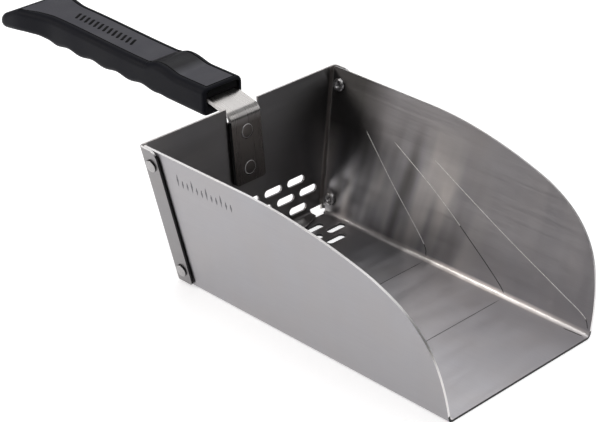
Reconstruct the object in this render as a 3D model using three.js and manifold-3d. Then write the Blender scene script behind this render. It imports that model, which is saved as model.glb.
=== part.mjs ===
// Hand sand scoop: a bent stainless pan and back panel riveted together, with a flat bar handle
// and a moulded grip. Millimetres, +Z up. The origin is the middle of the floor's underside, the
// mouth faces -Y and the handle runs to +Y.
import * as THREE from "three";
import { mergeVertices } from "three/addons/utils/BufferGeometryUtils.js";
import Module from "manifold-3d";

const wasm = await Module();
wasm.setup();

// Driving dimensions.
const SHEET = 1.2; // thickness of the pan and of the back panel
const GAP = 0.3; // clearance left between pieces that touch on the real scoop
const WALL_SETBACK = 1.2; // the side walls stop this far in front of the panel, clear of its bends
const FAR = 12; // how far a cutting solid reaches past the sheet that it cuts
const WIDE = 90; // half width of a cutting solid that spans the whole scoop
const BELOW = -1; // start of a cut that opens at the ground
const BEND_OUTER = 2.8; // outer radius of every sheet bend
const BEND_INNER = BEND_OUTER - SHEET;
const FLOOR_HALF = 50; // half width of the pan at its underside, before the bends
const WALL_HEIGHT = 77;
const LIP_Y = -88;
const REAR_Y = 88.3; // front face of the back panel, carried down to the ground
const RIM_NOSE = 36.7; // pull of the rim's curve straight up from the lip
const RIM_SHOULDER = [-77.6, 53.2]; // y and z of the curve's next control point
const RIM_KNEE = [-48.9, 64.2]; // y and z where the steep and the flat part of the rim meet
const RIM_CROWN_Y = -12.4;
const RIM_LEVEL_Y = 27.7; // the rim is level behind this
const FLARE = 0.2; // sideways run of a side wall for each unit of height
const LEAN = 0.095; // rearward run of the back panel for each unit of height

// Drain slots.
const SLOT_LENGTH = 12.2;
const SLOT_WIDTH = 4.2;
const SLOT_PITCH = 16.2;
const BACK_ROWS_Z = [23.4, 15.5, 7.6];
const FLOOR_ROWS_Y = [77.2, 69.4, 61.6];

// Flanges of the back panel.
const SIDE_FLANGE = 11.9; // reach of a side flange in front of the panel's outer face
const SIDE_FLANGE_CORNER = 4;
const SIDE_FLANGE_BOTTOM = 1.6;
const FOOT_HALF = 41; // half width of the bottom flange
const FOOT_FRONT_Y = 80.3;
const FOOT_CHAMFER = [11, 4.2]; // sideways and forward run of the bottom flange's corners
const RELIEF_HEIGHT = 4.3; // height of the open corners beside the bottom flange
const RELIEF_FRONT_Y = 84.8;
const RELIEF_HALF = 48.5;
const CORNER_BACK_Y = 86; // rear end of the bent corners under the panel's side flanges
const NOTCH_HALF = 10.8;
const NOTCH_BOTTOM = 69.6;

// Handle bar.
const BAR_HALF = 10;
const BAR_THICK = 2;
const BAR_FOOT_Z = 36;
const BAR_ELBOW = [94.1, 73.4]; // y and z where the leg's and the neck's middle lines cross
const BAR_RISE = 0.22; // rise of the neck for each unit of length
const BAR_TANG_Y = 122; // where the neck straightens into the level tang
const BAR_END_Y = 232;
const BAR_RADIUS = 5; // middle radius of the bar's bends
const TANG_HOLES_Y = [150, 205];
const TANG_HOLE_R = 3;
const TANG_Z = BAR_ELBOW[1] + BAR_RISE * (BAR_TANG_Y - BAR_ELBOW[0]);

// Rivets.
const SHANK_R = 2;
const SIDE_RIVETS_Z = { upper: 68.4, lower: 8.7 };
const SIDE_RIVET_SETBACK = 5.7; // distance in front of the panel's front face
const STRAP_RIVETS_Z = { upper: 63, lower: 43.4 };
const SIDE_HEAD = { radius: 3.3, high: 1.3 };
const HEAD_R = 3.6; // rear head of a strap rivet
const HEAD_HIGH = 1.9;
const FLUSH_R = 3.6; // countersunk front head of a strap rivet
const COUNTERSINK_DEPTH = 1.6;

// Grip. A change of height starts at `from` and runs smoothly over `run`.
const GRIP_FRONT_Y = 109.3;
const GRIP_BACK_Y = 269;
const GRIP_HALF = 13.4;
const GRIP_EDGE = 3.5; // radius of the grip's long edges
const GRIP_TOP_Z = 84.1;
const TOP_RISE = { from: 154, run: 75, height: 1.9 };
const THUMB_RISE = { from: 129.3, run: 14, height: 2.3 };
const THUMB_FALL = { from: 145.3, run: 9, height: 2.3 };
const GRIP_UNDER_Z = 68.7;
const UNDER_SLOPE = 0.0135; // rise of the underside for each unit of length
const GROOVE_FIRST_Y = 148; // lowest point of the first swell between finger grooves
const GROOVE_PITCH = 19.75;
const GROOVE_DEPTH = 1.3;
const GROOVES = 4;
const HOLLOW_RISE = { from: 226, run: 15, height: 2.5 };
const HOLLOW_FALL = { from: 247, run: 22, height: 2.2 };
const TAIL_FLARE = { from: 228, run: 28, height: 5.1 };
const BUTT = { run: 17, drop: 8.2 }; // bevel from the end of the grip's top face to its tail
const TAIL_SIDE = { run: 6, inset: 4 };
const TAIL_ABOVE = { run: 2.2, inset: 1.2 };
const TAIL_BELOW = { run: 4, inset: 1.2 };
const CORE_HALF = [10.7, 4.6];
const CORE_EDGE = 2.5;
const CORE_DROP = 1.2; // the core's middle lies this far below the tang's
const CORE_Y = [110.1, 240];

const STEEL = new THREE.MeshStandardMaterial({ color: 0x9b999c, metalness: 1, roughness: 0.35 });
const RUBBER = new THREE.MeshStandardMaterial({ color: 0x26272a, metalness: 0, roughness: 0.6 });
const PLASTIC = new THREE.MeshStandardMaterial({ color: 0x151516, metalness: 0, roughness: 0.7 });

// A closed geometry as a solid that can be cut and joined.
function solid(geometry) {
  const bare = geometry.clone();
  bare.deleteAttribute("normal");
  bare.deleteAttribute("uv");
  const merged = mergeVertices(bare, 1e-4);
  return new wasm.Manifold(
    new wasm.Mesh({
      numProp: 3,
      vertProperties: new Float32Array(merged.attributes.position.array),
      triVerts: new Uint32Array(merged.index.array),
    }),
  );
}

// A named mesh made from a solid.
function piece(name, body, material) {
  const mesh = body.getMesh();
  const geometry = new THREE.BufferGeometry();
  geometry.setAttribute("position", new THREE.BufferAttribute(mesh.vertProperties, 3));
  geometry.setIndex(new THREE.BufferAttribute(mesh.triVerts, 1));
  geometry.computeVertexNormals();
  const made = new THREE.Mesh(geometry, material);
  made.name = name;
  return made;
}

// Moves every corner of a geometry by a rule.
function reshape(geometry, rule) {
  const points = geometry.getAttribute("position");
  const point = new THREE.Vector3();
  for (let i = 0; i < points.count; i++) {
    point.fromBufferAttribute(points, i);
    rule(point);
    points.setXYZ(i, point.x, point.y, point.z);
  }
  return geometry;
}

function extrude(shape, depth, curveSegments = 6) {
  return new THREE.ExtrudeGeometry(shape, { depth, bevelEnabled: false, curveSegments });
}

// Extrudes an outline drawn in y and z across the scoop, from -half to +half in x.
function extrudeAcross(shape, half, curveSegments = 6) {
  const across = new THREE.Matrix4().makeBasis(
    new THREE.Vector3(0, 1, 0),
    new THREE.Vector3(0, 0, 1),
    new THREE.Vector3(1, 0, 0),
  );
  return extrude(shape, 2 * half, curveSegments).applyMatrix4(across).translate(-half, 0, 0);
}

// Extrudes an outline drawn in x and z along the scoop, from y0 to y1.
function extrudeAlong(shape, y0, y1, curveSegments = 6) {
  return extrude(shape, y1 - y0, curveSegments).rotateX(Math.PI / 2).translate(0, y1, 0);
}

function block(x0, x1, y0, y1, z0, z1) {
  const box = new THREE.BoxGeometry(x1 - x0, y1 - y0, z1 - z0);
  return solid(box.translate((x0 + x1) / 2, (y0 + y1) / 2, (z0 + z1) / 2));
}

function polygon(points) {
  return new THREE.Shape(points.map(([a, b]) => new THREE.Vector2(a, b)));
}

const panelFront = (z) => REAR_Y + LEAN * z;
const wallOuter = (z) => FLOOR_HALF + FLARE * z;
const FLARE_SPREAD = Math.hypot(1, FLARE);

// A stadium-shaped slot, centred on the origin, long in the first direction.
function slotShape() {
  const reach = (SLOT_LENGTH - SLOT_WIDTH) / 2;
  const shape = new THREE.Shape();
  shape.absarc(reach, 0, SLOT_WIDTH / 2, -Math.PI / 2, Math.PI / 2, false);
  shape.absarc(-reach, 0, SLOT_WIDTH / 2, Math.PI / 2, 1.5 * Math.PI, false);
  return shape;
}

// Slot centres: alternate rows hold five and six slots, half a pitch apart.
function slotColumns(row) {
  const count = row % 2 === 0 ? 5 : 6;
  return Array.from({ length: count }, (_, i) => (i - (count - 1) / 2) * SLOT_PITCH);
}

// The inside of the scoop's bend, drawn in x and z: a flared channel with rounded lower corners.
function channelShape(half, bottom, radius) {
  const slope = Math.atan(FLARE);
  const turn = radius * Math.tan((Math.PI / 2 - slope) / 2);
  const corner = half + FLARE * bottom;
  const top = 2 * WALL_HEIGHT;
  const shape = new THREE.Shape();
  const centre = [corner - turn, bottom + radius];
  shape.moveTo(half + FLARE * top, top);
  shape.lineTo(-(half + FLARE * top), top);
  shape.absarc(-centre[0], centre[1], radius, Math.PI + slope, 1.5 * Math.PI, false);
  shape.absarc(centre[0], centre[1], radius, 1.5 * Math.PI, 2 * Math.PI - slope, false);
  return shape;
}

// The side wall's outline in y and z: a level rim that sweeps down to the lip, and a rear edge
// against the panel.
function wallOutline() {
  const shape = new THREE.Shape();
  shape.moveTo(LIP_Y, BELOW);
  shape.lineTo(LIP_Y, 0);
  shape.bezierCurveTo(LIP_Y, RIM_NOSE, ...RIM_SHOULDER, ...RIM_KNEE);
  shape.bezierCurveTo(...RIM_KNEE, RIM_CROWN_Y, WALL_HEIGHT, RIM_LEVEL_Y, WALL_HEIGHT);
  shape.lineTo(panelFront(WALL_HEIGHT) - WALL_SETBACK, WALL_HEIGHT);
  shape.lineTo(panelFront(SHEET) - WALL_SETBACK, SHEET);
  shape.lineTo(panelFront(0) + SHEET, SHEET);
  shape.lineTo(panelFront(0) + SHEET, BELOW);
  return shape;
}

// Rivet places: a turned frame whose +Z points outward through the sheets, with its origin on
// the outer sheet's face.
function sideRivetFrame(side, z) {
  const out = new THREE.Vector3(side, 0, -FLARE).normalize();
  const along = new THREE.Vector3(0, 1, 0);
  const face = wallOuter(z) + (GAP + SHEET) * FLARE_SPREAD;
  const up = new THREE.Vector3().crossVectors(along, out);
  const frame = new THREE.Matrix4().makeBasis(up, along, out);
  return frame.setPosition(side * face, panelFront(z) - SIDE_RIVET_SETBACK, z);
}

function strapRivetFrame(z) {
  const out = new THREE.Vector3(0, 1, -LEAN).normalize();
  const across = new THREE.Vector3(1, 0, 0);
  const down = new THREE.Vector3().crossVectors(out, across);
  const frame = new THREE.Matrix4().makeBasis(across, down, out);
  return frame.setPosition(0, panelFront(z) + SHEET, z);
}

// A hole along a rivet frame's axis, deep enough for every sheet.
function rivetHole(frame) {
  const radius = SHANK_R + GAP;
  const cylinder = new THREE.CylinderGeometry(radius, radius, FAR, 12).rotateX(Math.PI / 2);
  return solid(cylinder.applyMatrix4(frame));
}

function sideRivetFrames() {
  return [-1, 1].flatMap((side) => Object.values(SIDE_RIVETS_Z).map((z) => sideRivetFrame(side, z)));
}

function strapRivetFrames() {
  return Object.values(STRAP_RIVETS_Z).map((z) => strapRivetFrame(z));
}

// The floor and both side walls, one bent sheet.
function makePan() {
  const outerShape = channelShape(FLOOR_HALF, 0, BEND_OUTER);
  const innerShape = channelShape(FLOOR_HALF - SHEET * FLARE_SPREAD, SHEET, BEND_INNER);
  const outer = solid(extrudeAlong(outerShape, LIP_Y, REAR_Y + FAR));
  const inner = solid(extrudeAlong(innerShape, LIP_Y - FAR, REAR_Y + 2 * FAR));
  let pan = outer.subtract(inner).intersect(solid(extrudeAcross(wallOutline(), WIDE, 9)));
  for (const side of [-1, 1]) {
    for (const [from, to, front] of [
      [FOOT_HALF, RELIEF_HALF, RELIEF_FRONT_Y],
      [RELIEF_HALF, WIDE, CORNER_BACK_Y],
    ]) {
      const [x0, x1] = [side * from, side * to].sort((a, b) => a - b);
      pan = pan.subtract(block(x0, x1, front, REAR_Y + FAR, -FAR, RELIEF_HEIGHT));
    }
  }
  FLOOR_ROWS_Y.forEach((y, row) => {
    for (const x of slotColumns(row)) {
      pan = pan.subtract(solid(extrude(slotShape(), FAR, 4).translate(x, y, -FAR / 2)));
    }
  });
  for (const frame of sideRivetFrames()) pan = pan.subtract(rivetHole(frame));
  return pan;
}

// A tray that wraps the rear of the scoop: rounded rear corners seen from above, rounded lower
// edge seen from the side.
function wrap(inset, radius) {
  const half = FLOOR_HALF + (GAP + SHEET - inset) * FLARE_SPREAD;
  const back = REAR_Y + SHEET - inset;
  const bottom = SHEET + GAP + inset;
  const plan = new THREE.Shape();
  plan.moveTo(-half, 0);
  plan.lineTo(half, 0);
  plan.absarc(half - radius, back - radius, radius, 0, Math.PI / 2, false);
  plan.absarc(radius - half, back - radius, radius, Math.PI / 2, Math.PI, false);
  const height = 2 * WALL_HEIGHT;
  const spread = (p) => {
    p.x += Math.sign(p.x) * FLARE * p.z;
    p.y += LEAN * p.z;
  };
  const walls = solid(reshape(extrude(plan, height, 4), spread));
  const lower = new THREE.Shape();
  const foot = back + LEAN * bottom;
  const slope = Math.atan(LEAN);
  const turn = radius * Math.tan((Math.PI / 2 - slope) / 2);
  lower.moveTo(back + LEAN * height, height);
  lower.lineTo(0, height);
  lower.lineTo(0, bottom);
  lower.absarc(foot - turn, bottom + radius, radius, 1.5 * Math.PI, 2 * Math.PI - slope, false);
  return walls.intersect(solid(extrudeAcross(lower, WIDE, 4)));
}

// The part of the tray that the side flanges keep, in y and z.
function flangeOutline() {
  const front = (z) => panelFront(z) + SHEET - SIDE_FLANGE;
  const shape = new THREE.Shape();
  shape.moveTo(front(SIDE_FLANGE_BOTTOM), SIDE_FLANGE_BOTTOM);
  shape.lineTo(front(WALL_HEIGHT - SIDE_FLANGE_CORNER), WALL_HEIGHT - SIDE_FLANGE_CORNER);
  const corner = [front(WALL_HEIGHT), WALL_HEIGHT];
  shape.quadraticCurveTo(...corner, corner[0] + SIDE_FLANGE_CORNER, WALL_HEIGHT);
  shape.lineTo(REAR_Y + FAR, WALL_HEIGHT);
  shape.lineTo(REAR_Y + FAR, SIDE_FLANGE_BOTTOM);
  return shape;
}

// The cuts at one lower corner of the back panel, drawn in x and z: the open relief, and room
// for the pan's bend.
function cornerCuts(side) {
  const bendStart = side * (FLOOR_HALF - BEND_INNER);
  const relief = polygon([
    [side * FOOT_HALF, BELOW],
    [side * (FOOT_HALF + RELIEF_HEIGHT - SHEET), RELIEF_HEIGHT],
    [bendStart, RELIEF_HEIGHT],
    [bendStart, BELOW],
  ]);
  const flangeInner = (z) => side * (wallOuter(z) + GAP * FLARE_SPREAD);
  const besideFoot = polygon([
    [side * FOOT_HALF, BELOW],
    [side * FOOT_HALF, RELIEF_HEIGHT],
    [flangeInner(RELIEF_HEIGHT), RELIEF_HEIGHT],
    [flangeInner(BELOW), BELOW],
  ]);
  const front = FOOT_FRONT_Y - FAR;
  return [
    solid(extrudeAlong(relief, front, REAR_Y + FAR)),
    solid(extrudeAlong(besideFoot, front, REAR_Y - BEND_INNER)),
  ];
}

// The cut that slants one front corner of the bottom flange.
function footChamfer(side) {
  const [run, depth] = FOOT_CHAMFER;
  const past = side * (FOOT_HALF + 1);
  const corner = polygon([
    [past, FOOT_FRONT_Y - 1],
    [past, FOOT_FRONT_Y + depth],
    [side * FOOT_HALF, FOOT_FRONT_Y + depth],
    [side * (FOOT_HALF - run), FOOT_FRONT_Y],
    [side * (FOOT_HALF - run), FOOT_FRONT_Y - 1],
  ]);
  return solid(extrude(corner, FAR));
}

// The rear wall with its side flanges and bottom flange, one bent sheet.
function makePanel() {
  let panel = wrap(0, BEND_OUTER).subtract(wrap(SHEET, BEND_INNER));
  panel = panel.intersect(solid(extrudeAcross(flangeOutline(), WIDE)));
  const footTop = 2 * SHEET + GAP;
  panel = panel.subtract(block(-WIDE, WIDE, 0, FOOT_FRONT_Y, 0, footTop + BEND_INNER));
  for (const side of [-1, 1]) {
    for (const cut of [...cornerCuts(side), footChamfer(side)]) panel = panel.subtract(cut);
  }
  const notch = [REAR_Y, REAR_Y + FAR, NOTCH_BOTTOM, WALL_HEIGHT + FAR];
  panel = panel.subtract(block(-NOTCH_HALF, NOTCH_HALF, ...notch));
  BACK_ROWS_Z.forEach((z, row) => {
    for (const x of slotColumns(row)) {
      const slot = extrude(slotShape(), 2 * FAR, 4).rotateX(Math.PI / 2);
      panel = panel.subtract(solid(slot.translate(x, REAR_Y + FAR, z)));
    }
  });
  for (const frame of [...sideRivetFrames(), ...strapRivetFrames()]) {
    panel = panel.subtract(rivetHole(frame));
  }
  return panel;
}

// The arc of a bend between two straight stretches, as points with their directions.
function bend(from, corner, to) {
  const before = corner.clone().sub(from).normalize();
  const after = to.clone().sub(corner).normalize();
  const angle = Math.acos(before.dot(after));
  const turn = Math.sign(before.cross(after));
  const centre = corner
    .clone()
    .addScaledVector(before, -BAR_RADIUS * Math.tan(angle / 2))
    .add(leftOf(before).multiplyScalar(turn * BAR_RADIUS));
  const steps = Math.max(2, Math.ceil(angle / 0.22));
  return Array.from({ length: steps + 1 }, (_, k) => {
    const direction = before.clone().rotateAround(new THREE.Vector2(), (turn * angle * k) / steps);
    const at = centre.clone().sub(leftOf(direction).multiplyScalar(turn * BAR_RADIUS));
    return { at, direction };
  });
}

function leftOf(direction) {
  return new THREE.Vector2(-direction.y, direction.x);
}

// The bent bar's outline in y and z: points on both sides of its middle line.
function barOutline(thickness = BAR_THICK, endY = BAR_END_Y) {
  const legY = panelFront(BAR_FOOT_Z) - GAP - BAR_THICK / 2;
  const foot = new THREE.Vector2(legY, BAR_FOOT_Z);
  const elbow = new THREE.Vector2(...BAR_ELBOW);
  const shoulder = new THREE.Vector2(BAR_TANG_Y, TANG_Z);
  const end = new THREE.Vector2(endY, TANG_Z);
  const middle = [
    { at: foot, direction: elbow.clone().sub(foot).normalize() },
    ...bend(foot, elbow, shoulder),
    ...bend(elbow, shoulder, end),
    { at: end, direction: new THREE.Vector2(1, 0) },
  ];
  const beside = (distance) =>
    middle.map(({ at, direction }) => at.clone().addScaledVector(leftOf(direction), distance));
  return new THREE.Shape([...beside(thickness / 2), ...beside(-thickness / 2).reverse()]);
}

function upright(radius, y, z0, z1, sides = 16) {
  const cylinder = new THREE.CylinderGeometry(radius, radius, z1 - z0, sides);
  return solid(cylinder.rotateX(Math.PI / 2).translate(0, y, (z0 + z1) / 2));
}

// The countersunk hole for a strap rivet, along the rivet frame's axis.
function rivetSeat(frame) {
  const barFront = -SHEET - GAP - BAR_THICK;
  return rivet(
    [
      [0, barFront - FAR],
      [FLUSH_R + GAP, barFront - FAR],
      [FLUSH_R + GAP, barFront],
      [SHANK_R + GAP, barFront + COUNTERSINK_DEPTH],
      [SHANK_R + GAP, SHEET],
      [0, SHEET],
    ],
    frame,
  );
}

// The flat bar: a leg on the back panel, a neck over the notch and a tang inside the grip.
function makeBar() {
  let bar = solid(extrudeAcross(barOutline(), BAR_HALF));
  for (const frame of strapRivetFrames()) bar = bar.subtract(rivetSeat(frame));
  for (const y of TANG_HOLES_Y) bar = bar.subtract(upright(TANG_HOLE_R, y, TANG_Z - FAR, TANG_Z + FAR));
  return bar;
}

// A turned rivet whose profile runs along the frame's +Z, closed on the axis.
function rivet(profile, frame) {
  const lathe = new THREE.LatheGeometry(profile.map(([r, h]) => new THREE.Vector2(r, h)), 16);
  return solid(lathe.rotateX(Math.PI / 2).applyMatrix4(frame));
}

// A low flat outer head, a shank through the flange and the wall, and a rolled inner end with an
// open middle.
function sideRivetProfile() {
  const inner = -2 * SHEET - GAP;
  return [
    [0, inner - 0.5],
    [1.1, inner - 0.5],
    [1.3, inner - 1.5],
    [2.3, inner - 1.7],
    [3.4, inner - 1.1],
    [3.6, inner - 0.1],
    [SHANK_R, inner - 0.1],
    [SHANK_R, 0.1],
    [SIDE_HEAD.radius, 0.1],
    [SIDE_HEAD.radius - 0.1, SIDE_HEAD.high - 0.5],
    [SIDE_HEAD.radius - 0.6, SIDE_HEAD.high - 0.1],
    [0, SIDE_HEAD.high],
  ];
}

// A countersunk head flush with the bar, a shank, and a low dome formed behind the panel.
function strapRivetProfile() {
  const front = -SHEET - GAP - BAR_THICK;
  return [
    [0, front - 0.1],
    [FLUSH_R, front - 0.1],
    [FLUSH_R, front + 0.1],
    [SHANK_R, front + COUNTERSINK_DEPTH],
    [SHANK_R, 0.1],
    [HEAD_R, 0.1],
    [HEAD_R - 0.3, 1],
    [HEAD_R - 1.5, HEAD_HIGH - 0.3],
    [0, HEAD_HIGH],
  ];
}

const ramp = (t) => {
  const u = Math.min(1, Math.max(0, t));
  return u * u * (3 - 2 * u);
};

const rise = (y, { from, run, height }) => height * ramp((y - from) / run);

// The grip's outline along y: the height of its top and underside, and its half width.
function gripTop(y) {
  const bevel = Math.max(0, (y - GRIP_BACK_Y) / BUTT.run + 1) * BUTT.drop;
  return GRIP_TOP_Z + rise(y, TOP_RISE) + rise(y, THUMB_RISE) - rise(y, THUMB_FALL) - bevel;
}

function gripBottom(y) {
  const phase = (y - GROOVE_FIRST_Y) / GROOVE_PITCH;
  const grooved = ramp(phase / 0.5 + 1) * (1 - ramp((phase - GROOVES) / 0.5));
  const groove = (GROOVE_DEPTH / 2) * (1 - Math.cos(2 * Math.PI * phase)) * grooved;
  const slope = UNDER_SLOPE * (y - GRIP_FRONT_Y);
  return GRIP_UNDER_Z + slope + groove + rise(y, HOLLOW_RISE) - rise(y, HOLLOW_FALL);
}

const gripHalf = (y) => GRIP_HALF + rise(y, TAIL_FLARE);

// One ring of a rounded rectangle in x and z, from four quarter arcs.
function ring(y, half, low, high, radius, arcSteps) {
  const points = [];
  const corner = Math.min(radius, (high - low) / 2 - 0.1, half - 0.1);
  for (let quarter = 0; quarter < 4; quarter++) {
    const [sx, sz] = [[1, 1], [-1, 1], [-1, -1], [1, -1]][quarter];
    for (let k = 0; k <= arcSteps; k++) {
      const angle = ((quarter + k / arcSteps) * Math.PI) / 2;
      const x = sx * (half - corner) + corner * Math.cos(angle);
      const z = (sz > 0 ? high - corner : low + corner) + corner * Math.sin(angle);
      points.push([x, y, z]);
    }
  }
  return points;
}

// A closed skin through a row of rings, with flat ends.
function loft(rings) {
  const size = rings[0].length;
  const points = rings.flat();
  const faces = [];
  for (let i = 0; i < rings.length - 1; i++) {
    for (let k = 0; k < size; k++) {
      const [a, b] = [i * size + k, i * size + ((k + 1) % size)];
      faces.push(a, a + size, b, b, a + size, b + size);
    }
  }
  const last = (rings.length - 1) * size;
  for (let k = 1; k < size - 1; k++) {
    faces.push(0, k, k + 1);
    faces.push(last, last + k + 1, last + k);
  }
  const geometry = new THREE.BufferGeometry();
  geometry.setAttribute("position", new THREE.Float32BufferAttribute(points.flat(), 3));
  geometry.setIndex(faces);
  return geometry;
}

// Ring positions along the grip: close together where the ends round over.
function gripStations() {
  const nose = [0, 0.35, 1.3, GRIP_EDGE * 0.7];
  const tail = [12, 8, 6, 4.3, 2.8, 1.5, 0.6, 0.15, 0];
  const from = GRIP_FRONT_Y + GRIP_EDGE;
  const to = GRIP_BACK_Y - BUTT.run;
  const count = 36;
  const body = Array.from({ length: count + 1 }, (_, i) => from + ((to - from) * i) / count);
  return [...nose.map((d) => GRIP_FRONT_Y + d), ...body, ...tail.map((d) => GRIP_BACK_Y - d)];
}

// The soft outer grip, hollow for the core and open at its front.
function makeCover() {
  const rings = gripStations().map((y) => {
    const nose = Math.max(0, 1 - (y - GRIP_FRONT_Y) / GRIP_EDGE);
    const front = (GRIP_EDGE * (1 - Math.sqrt(1 - nose * nose))) / 2;
    const tail = ({ run, inset }) => {
      const t = Math.max(0, 1 - (GRIP_BACK_Y - y) / run);
      return inset * (1 - Math.sqrt(1 - t * t));
    };
    const low = gripBottom(y) + front + tail(TAIL_BELOW);
    const high = gripTop(y) - front - tail(TAIL_ABOVE);
    return ring(y, gripHalf(y) - front - tail(TAIL_SIDE), low, high, GRIP_EDGE, 4);
  });
  return solid(loft(rings)).subtract(coreBlock(CORE_Y[0] - FAR, GAP));
}

// The core's outer block, from a front end to its back, grown by a clearance.
function coreBlock(front, grow) {
  const [half, high] = CORE_HALF.map((size) => size + grow);
  const middle = TANG_Z - CORE_DROP;
  const ends = [front, CORE_Y[1] + grow];
  return solid(loft(ends.map((y) => ring(y, half, middle - high, middle + high, CORE_EDGE, 3))));
}

// The rigid inner moulding: split by the tang, and locked through its two holes.
function makeCore() {
  const tang = extrudeAcross(barOutline(BAR_THICK + 2 * GAP, BAR_END_Y + GAP), BAR_HALF + GAP);
  let core = coreBlock(CORE_Y[0], 0).subtract(solid(tang));
  for (const y of TANG_HOLES_Y) {
    core = core.add(upright(TANG_HOLE_R - GAP, y, TANG_Z - BAR_THICK, TANG_Z + BAR_THICK));
  }
  return core;
}

const scoop = new THREE.Group();
scoop.add(piece("scoop_pan", makePan(), STEEL));
scoop.add(piece("back_panel", makePanel(), STEEL));
scoop.add(piece("handle_strap", makeBar(), STEEL));
scoop.add(piece("grip_cover", makeCover(), RUBBER));
scoop.add(piece("grip_core", makeCore(), PLASTIC));
for (const [side, word] of [[-1, "left"], [1, "right"]]) {
  for (const [level, z] of Object.entries(SIDE_RIVETS_Z)) {
    const name = `side_rivet_${word}_${level}`;
    scoop.add(piece(name, rivet(sideRivetProfile(), sideRivetFrame(side, z)), STEEL));
  }
}
for (const [level, z] of Object.entries(STRAP_RIVETS_Z)) {
  scoop.add(piece(`strap_rivet_${level}`, rivet(strapRivetProfile(), strapRivetFrame(z)), STEEL));
}

export default scoop;
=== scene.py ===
"""Looks of the hand sand scoop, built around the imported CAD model. Shapes are drawn in millimetres in
the part's own frame (mouth to -Y, handle to +Y, +Z up) and scaled to metres when a mesh is made."""
import math

import bmesh
import bpy
from mathutils import Matrix, Vector
from mathutils.geometry import interpolate_bezier


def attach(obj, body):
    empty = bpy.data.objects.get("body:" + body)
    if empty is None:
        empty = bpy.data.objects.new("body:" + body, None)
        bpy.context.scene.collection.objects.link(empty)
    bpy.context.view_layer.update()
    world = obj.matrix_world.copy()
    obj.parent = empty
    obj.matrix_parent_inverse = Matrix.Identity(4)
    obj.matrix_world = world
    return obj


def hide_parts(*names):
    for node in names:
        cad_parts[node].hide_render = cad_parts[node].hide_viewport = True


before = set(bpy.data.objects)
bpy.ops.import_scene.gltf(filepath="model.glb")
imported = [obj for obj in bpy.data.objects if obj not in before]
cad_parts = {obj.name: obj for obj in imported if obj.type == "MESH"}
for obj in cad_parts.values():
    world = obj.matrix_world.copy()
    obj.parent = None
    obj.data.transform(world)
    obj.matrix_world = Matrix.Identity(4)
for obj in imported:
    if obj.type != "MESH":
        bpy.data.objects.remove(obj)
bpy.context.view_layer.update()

MM = 0.001

# Sheet metal, in millimetres, as in the CAD model.
SHEET = 1.2
GAP = 0.3
WALL_SETBACK = 1.2
BEND = 2.8  # outer radius of the sheet bends
FLOOR_HALF = 50.0
WALL_HEIGHT = 77.0
LIP_Y = -88.0
REAR_Y = 88.3
FLARE = 0.2
LEAN = 0.095
RIM_STEEP = [(-88.0, 0.0), (-88.0, 36.7), (-77.6, 53.2), (-48.9, 64.2)]
RIM_FLAT = [(-48.9, 64.2), (-48.9, 64.2), (-12.4, 77.0), (27.7, 77.0)]
SLOT_LENGTH, SLOT_WIDTH, SLOT_PITCH = 12.2, 4.2, 16.2
BACK_ROWS_Z = [23.4, 15.5, 7.6]
FLOOR_ROWS_Y = [77.2, 69.4, 61.6]
SIDE_FLANGE = 11.9
SIDE_FLANGE_BOTTOM = 1.6
SIDE_FLANGE_CORNERS = (4.0, 1.5)  # top and bottom radius
FOOT_HALF = 41.0
FOOT_FRONT_Y = 80.3
FOOT_CHAMFER = (11.0, 4.2)
RELIEF_HEIGHT = 4.3
RELIEF_FRONT_Y = 84.8
RELIEF_HALF = 48.5
CORNER_BACK_Y = 86.0
NOTCH_HALF, NOTCH_BOTTOM, NOTCH_CORNER = 10.8, 69.6, 1.2

# Handle bar.
BAR_HALF, BAR_THICK = 10.0, 2.0
BAR_FOOT_Z = 36.0
BAR_CORNER = 1.6
BAR_ELBOW = (94.1, 73.4)
BAR_RISE = 0.22
BAR_TANG_Y = 122.0
BAR_END_Y = 232.0
BAR_RADIUS = 5.0

# Rivets.
SIDE_RIVETS_Z = {"upper": 68.4, "lower": 8.7}
SIDE_RIVET_SETBACK = 5.7
STRAP_RIVETS_Z = {"upper": 63.0, "lower": 43.4}
SIDE_HEAD_R, SIDE_HEAD_HIGH = 3.3, 1.3
HEAD_R, HEAD_HIGH = 3.6, 1.9  # rear head of a strap rivet
SHANK_R = 2.0
HEAD_LIFT = 0.02  # a head stands this far off the sheet
HOLE_CLEARANCE = 0.25  # round the flush heads in the bar
ROLL_HOLE_R, ROLL_HIGH = 1.15, 1.6  # open middle and height of a rolled rivet end

# Grip.
GRIP_FRONT_Y, GRIP_BACK_Y = 109.3, 269.0
GRIP_HALF, GRIP_EDGE = 13.4, 3.5
GRIP_TOP_Z, GRIP_UNDER_Z, UNDER_SLOPE = 84.1, 68.7, 0.0135
TOP_RISE = (154.0, 75.0, 1.9)  # where a slope starts, how long it runs and how far it goes
THUMB_RISE, THUMB_FALL = (129.3, 14.0, 2.3), (145.3, 9.0, 2.3)
HOLLOW_RISE, HOLLOW_FALL = (226.0, 15.0, 2.5), (247.0, 22.0, 2.2)
TAIL_FLARE, PAD_FLARE = (228.0, 28.0, 5.1), (240.0, 12.0, 1.7)
GROOVE_FIRST_Y, GROOVE_PITCH, GROOVE_DEPTH, GROOVES = 148.0, 19.75, 1.3, 4
BUTT_RUN, BUTT_DROP = 17.0, 8.2
NOSE = (1.7, 1.4)  # how long an end takes to round over, and how far it comes in
TAIL_SIDE, TAIL_BELOW, TAIL_ABOVE = (6.0, 4.0), (4.0, 1.2), (2.2, 1.2)
PAD_INSET = 4.4  # from the grip's side to the seam around its top pad
SEAM_WIDTH, SEAM_DEPTH = 0.7, 0.35
PAD_FRONT_Y, PAD_BACK_Y = 111.6, 251.4
CREASE_Y, CREASE_WIDTH, CREASE_HEIGHT = 153.6, 0.6, 0.3
HUMP_SHADE_FRONT_Y = 134.0  # where the painted shade on the hump behind the front pad starts
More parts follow.
